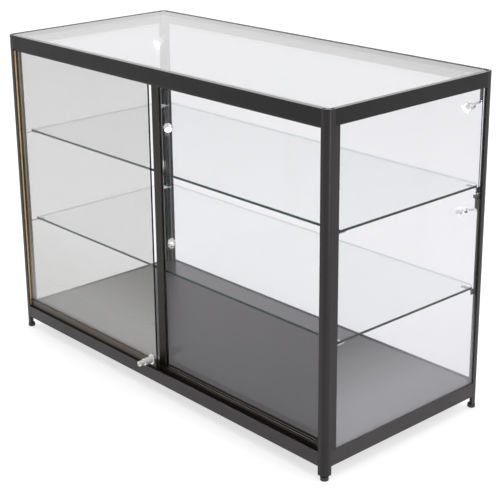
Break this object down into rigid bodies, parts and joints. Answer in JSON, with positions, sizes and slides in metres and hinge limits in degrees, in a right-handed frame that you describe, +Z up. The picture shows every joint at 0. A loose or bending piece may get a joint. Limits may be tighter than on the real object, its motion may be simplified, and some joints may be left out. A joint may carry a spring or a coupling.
{
  "type": "glass display showcase",
  "caption": "Counter-height glass display showcase with a dark angle frame, glass shelves, lockable sliding glass doors, small spot lamps and a dark laminate deck.",
  "frame": {"origin": "on the floor, under the middle of the whole footprint, the lock that stands out of the door side included", "axes": "+Z up, +X along the counter, -Y is the door (service) side, +Y the customer side"},
  "size_m": [1.219, 0.586, 0.864],
  "materials": {
    "frame_aluminium": "dark charcoal powder coat, fine satin",
    "track_aluminium": "dark anodised aluminium, satin",
    "clear_glass": "clear tempered float glass",
    "shelf_glass": "clear tempered float glass with green polished edges",
    "gasket": "grey flexible seal",
    "plate_steel": "zinc plated steel",
    "deck_laminate": "charcoal melamine laminate on board, satin",
    "bearer_aluminium": "mill finish",
    "chrome": "polished chrome",
    "key_brass": "brass",
    "stile_plastic": "black extruded plastic",
    "wheel_nylon": "white nylon",
    "lamp_dark": "dark grey satin",
    "lamp_silver": "bright satin aluminium",
    "lamp_lens": "clear moulded lens",
    "driver_case": "white moulded housing",
    "lead_pvc": "grey flexible lead",
    "grommet_rubber": "black rubber",
    "foot_plastic": "black moulded foot on a steel stud"
  },
  "bodies": {
    "case": {"post_door_left": "frame_aluminium", "post_door_right": "frame_aluminium", "post_customer_left": "frame_aluminium", "post_customer_right": "frame_aluminium", "top_rail_door": "frame_aluminium", "bottom_rail_door": "frame_aluminium", "top_rail_customer": "frame_aluminium", "bottom_rail_customer": "frame_aluminium", "top_rail_left": "frame_aluminium", "bottom_rail_left": "frame_aluminium", "top_rail_right": "frame_aluminium", "bottom_rail_right": "frame_aluminium", "corner_plates": "plate_steel", "corner_screws": "plate_steel", "top_glass": "clear_glass", "end_glass_left": "clear_glass", "end_glass_right": "clear_glass", "customer_glass": "clear_glass", "glazing_gaskets": "gasket", "door_track_top": "track_aluminium", "door_track_bottom": "track_aluminium", "door_jambs": "frame_aluminium", "deck_panel": "deck_laminate", "deck_bearers": "bearer_aluminium", "shelf_upper": "shelf_glass", "shelf_lower": "shelf_glass", "shelf_clips": "chrome", "lamp_stems": "lamp_dark", "lamp_leads": "lead_pvc", "led_driver": "driver_case", "cable_grommet": "grommet_rubber"},
    "left_door": {"left_door_glass": "clear_glass", "left_door_shoe": "track_aluminium", "lock_barrel": "chrome", "lock_nut": "chrome"},
    "right_door": {"right_door_glass": "clear_glass", "right_door_shoe": "track_aluminium", "right_door_stile": "stile_plastic"},
    "left_door_wheel_left": {"left_door_wheel_left": "wheel_nylon"},
    "left_door_wheel_right": {"left_door_wheel_right": "wheel_nylon"},
    "right_door_wheel_left": {"right_door_wheel_left": "wheel_nylon"},
    "right_door_wheel_right": {"right_door_wheel_right": "wheel_nylon"},
    "lock_plunger": {"lock_plunger": "chrome"},
    "lock_key_plug": {"lock_key_plug": "key_brass"},
    "lamp_upper_left_yoke": {"lamp_upper_left_yoke": "lamp_dark"},
    "lamp_upper_left_head": {"lamp_upper_left_head": "lamp_silver", "lamp_upper_left_lens": "lamp_lens"},
    "lamp_lower_left_yoke": {"lamp_lower_left_yoke": "lamp_dark"},
    "lamp_lower_left_head": {"lamp_lower_left_head": "lamp_silver", "lamp_lower_left_lens": "lamp_lens"},
    "lamp_upper_right_yoke": {"lamp_upper_right_yoke": "lamp_dark"},
    "lamp_upper_right_head": {"lamp_upper_right_head": "lamp_silver", "lamp_upper_right_lens": "lamp_lens"},
    "lamp_lower_right_yoke": {"lamp_lower_right_yoke": "lamp_dark"},
    "lamp_lower_right_head": {"lamp_lower_right_head": "lamp_silver", "lamp_lower_right_lens": "lamp_lens"},
    "foot_door_left": {"foot_door_left": "foot_plastic"},
    "foot_door_right": {"foot_door_right": "foot_plastic"},
    "foot_customer_left": {"foot_customer_left": "foot_plastic"},
    "foot_customer_right": {"foot_customer_right": "foot_plastic"}
  },
  "joints": [
    {"name": "left_door_slide", "type": "slide", "parent": "case", "child": "left_door", "axis": [1, 0, 0], "range_m": [0, 0.585]},
    {"name": "right_door_slide", "type": "slide", "parent": "case", "child": "right_door", "axis": [-1, 0, 0], "range_m": [0, 0.56]},
    {"name": "left_door_wheel_left_roll", "type": "hinge", "parent": "left_door", "child": "left_door_wheel_left", "pos_m": [-0.5295, -0.244, 0.0558], "axis": [0, 1, 0], "range_deg": [0, 9600]},
    {"name": "left_door_wheel_right_roll", "type": "hinge", "parent": "left_door", "child": "left_door_wheel_right", "pos_m": [-0.067, -0.244, 0.0558], "axis": [0, 1, 0], "range_deg": [0, 9600]},
    {"name": "right_door_wheel_left_roll", "type": "hinge", "parent": "right_door", "child": "right_door_wheel_left", "pos_m": [0.042, -0.2196, 0.0558], "axis": [0, -1, 0], "range_deg": [0, 9600]},
    {"name": "right_door_wheel_right_roll", "type": "hinge", "parent": "right_door", "child": "right_door_wheel_right", "pos_m": [0.5295, -0.2196, 0.0558], "axis": [0, -1, 0], "range_deg": [0, 9600]},
    {"name": "lock_push", "type": "slide", "parent": "left_door", "child": "lock_plunger", "axis": [0, 1, 0], "range_m": [0, 0.008], "stiffness_N_per_m": 150},
    {"name": "key_turn", "type": "hinge", "parent": "lock_plunger", "child": "lock_key_plug", "pos_m": [-0.0215, -0.293, 0.0885], "axis": [0, -1, 0], "range_deg": [0, 90]},
    {"name": "lamp_upper_left_swivel", "type": "hinge", "parent": "case", "child": "lamp_upper_left_yoke", "pos_m": [-0.5905, 0.274, 0.793], "axis": [0, 0, 1], "range_deg": [-5, 50]},
    {"name": "lamp_upper_left_tilt", "type": "hinge", "parent": "lamp_upper_left_yoke", "child": "lamp_upper_left_head", "pos_m": [-0.57887, 0.24205, 0.78], "axis": [-0.9397, -0.342, 0], "range_deg": [-50, 45]},
    {"name": "lamp_lower_left_swivel", "type": "hinge", "parent": "case", "child": "lamp_lower_left_yoke", "pos_m": [-0.5905, 0.274, 0.528], "axis": [0, 0, 1], "range_deg": [-40, 15]},
    {"name": "lamp_lower_left_tilt", "type": "hinge", "parent": "lamp_lower_left_yoke", "child": "lamp_lower_left_head", "pos_m": [-0.56167, 0.25598, 0.515], "axis": [-0.5299, -0.848, 0], "range_deg": [-50, 45]},
    {"name": "lamp_upper_right_swivel", "type": "hinge", "parent": "case", "child": "lamp_upper_right_yoke", "pos_m": [0.5905, 0.274, 0.793], "axis": [0, 0, 1], "range_deg": [-50, 5]},
    {"name": "lamp_upper_right_tilt", "type": "hinge", "parent": "lamp_upper_right_yoke", "child": "lamp_upper_right_head", "pos_m": [0.57887, 0.24205, 0.78], "axis": [-0.9397, 0.342, 0], "range_deg": [-50, 45]},
    {"name": "lamp_lower_right_swivel", "type": "hinge", "parent": "case", "child": "lamp_lower_right_yoke", "pos_m": [0.5905, 0.274, 0.528], "axis": [0, 0, 1], "range_deg": [-15, 40]},
    {"name": "lamp_lower_right_tilt", "type": "hinge", "parent": "lamp_lower_right_yoke", "child": "lamp_lower_right_head", "pos_m": [0.56167, 0.25598, 0.515], "axis": [-0.5299, 0.848, 0], "range_deg": [-50, 45]},
    {"name": "foot_door_left_adjust", "type": "slide", "parent": "case", "child": "foot_door_left", "axis": [0, 0, -1], "range_m": [0, 0.015]},
    {"name": "foot_door_right_adjust", "type": "slide", "parent": "case", "child": "foot_door_right", "axis": [0, 0, -1], "range_m": [0, 0.015]},
    {"name": "foot_customer_left_adjust", "type": "slide", "parent": "case", "child": "foot_customer_left", "axis": [0, 0, -1], "range_m": [0, 0.015]},
    {"name": "foot_customer_right_adjust", "type": "slide", "parent": "case", "child": "foot_customer_right", "axis": [0, 0, -1], "range_m": [0, 0.015]}
  ],
  "couplings": [
    {"joint": "left_door_wheel_left_roll", "follows": "left_door_slide", "rad_per_m": 285.71},
    {"joint": "left_door_wheel_right_roll", "follows": "left_door_slide", "rad_per_m": 285.71},
    {"joint": "right_door_wheel_left_roll", "follows": "right_door_slide", "rad_per_m": 285.71},
    {"joint": "right_door_wheel_right_roll", "follows": "right_door_slide", "rad_per_m": 285.71}
  ]
}
